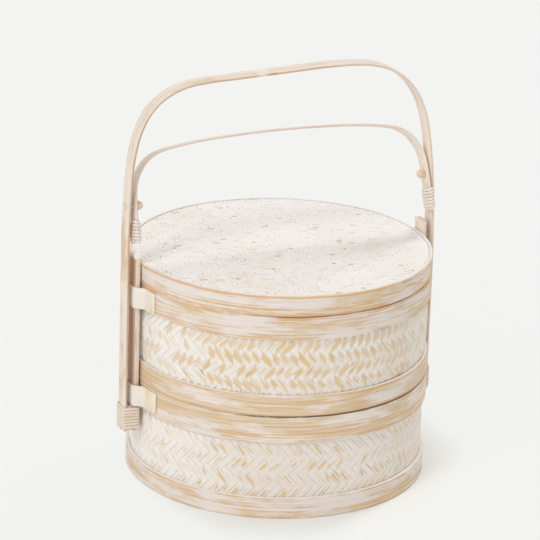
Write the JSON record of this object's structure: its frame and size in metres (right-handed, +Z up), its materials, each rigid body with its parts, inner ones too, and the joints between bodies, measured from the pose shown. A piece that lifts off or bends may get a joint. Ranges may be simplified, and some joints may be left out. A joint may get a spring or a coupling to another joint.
{
  "type": "stacked bamboo food basket",
  "caption": "Round stacked food basket in whitewashed woven bamboo, with a flat lid, a tall bent carrying arch and a smaller inner arch that swings on pegs.",
  "frame": {"origin": "middle of the basket's foot, on the surface it stands on", "axes": "+Z up; +X across the carrying arch from its left foot to its right foot; +Y through the arch, towards the side that the inner arch leans to"},
  "size_m": [0.3248, 0.29, 0.3965],
  "materials": {
    "weave": "whitewashed woven bamboo strips, matt",
    "inner_weave": "thinly whitewashed woven bamboo strips, matt",
    "hoop": "whitewashed bamboo strip, rubbed back to tan at its edges",
    "loop": "whitewashed thin bamboo strip with a tan streak",
    "strap": "whitewashed bent bamboo, rubbed back along its edges",
    "stile": "thinly whitewashed bamboo slat, browner on its face",
    "slat": "bare split bamboo, satin",
    "cane": "whitewashed flat cane winding",
    "peg": "turned wooden peg, tan with a worn whitewash"
  },
  "bodies": {
    "base_tier": {"lower_tier_wall": "weave", "lower_tier_foot_hoop": "hoop", "lower_tier_rim_hoop": "hoop", "lower_tier_collar": "hoop", "lower_tier_slat_front": "slat", "lower_tier_slat_middle": "slat", "lower_tier_slat_back": "slat", "lower_tier_floor": "inner_weave", "lower_tier_floor_hoop": "hoop", "lower_tier_loop_left": "loop", "lower_tier_loop_right": "loop", "stile_left": "stile", "stile_right": "stile", "spacer_left": "slat", "spacer_right": "slat", "carrying_arch": "strap", "lashing_left": "cane", "lashing_right": "cane", "peg_left": "peg", "peg_right": "peg"},
    "upper_tier": {"upper_tier_wall": "weave", "upper_tier_foot_hoop": "hoop", "upper_tier_rim_hoop": "hoop", "upper_tier_collar": "hoop", "upper_tier_slat_front": "slat", "upper_tier_slat_middle": "slat", "upper_tier_slat_back": "slat", "upper_tier_floor": "inner_weave", "upper_tier_floor_hoop": "hoop", "upper_tier_loop_left": "loop", "upper_tier_loop_right": "loop"},
    "lid": {"lid_hoop": "hoop", "lid_sheet": "weave", "lid_inner_hoop": "hoop"},
    "inner_arch": {"inner_arch": "strap", "bail_wrap_left": "cane", "bail_wrap_right": "cane"}
  },
  "joints": [
    {"name": "upper_tier_lift", "type": "slide", "parent": "base_tier", "child": "upper_tier", "axis": [0, 0, 1], "range_m": [0, 0.02]},
    {"name": "lid_lift", "type": "slide", "parent": "upper_tier", "child": "lid", "axis": [0, 0, 1], "range_m": [0, 0.028]},
    {"name": "inner_arch_swing", "type": "hinge", "parent": "base_tier", "child": "inner_arch", "pos_m": [0, 0, 0.2758], "axis": [1, 0, 0], "range_deg": [-67, 103]}
  ]
}
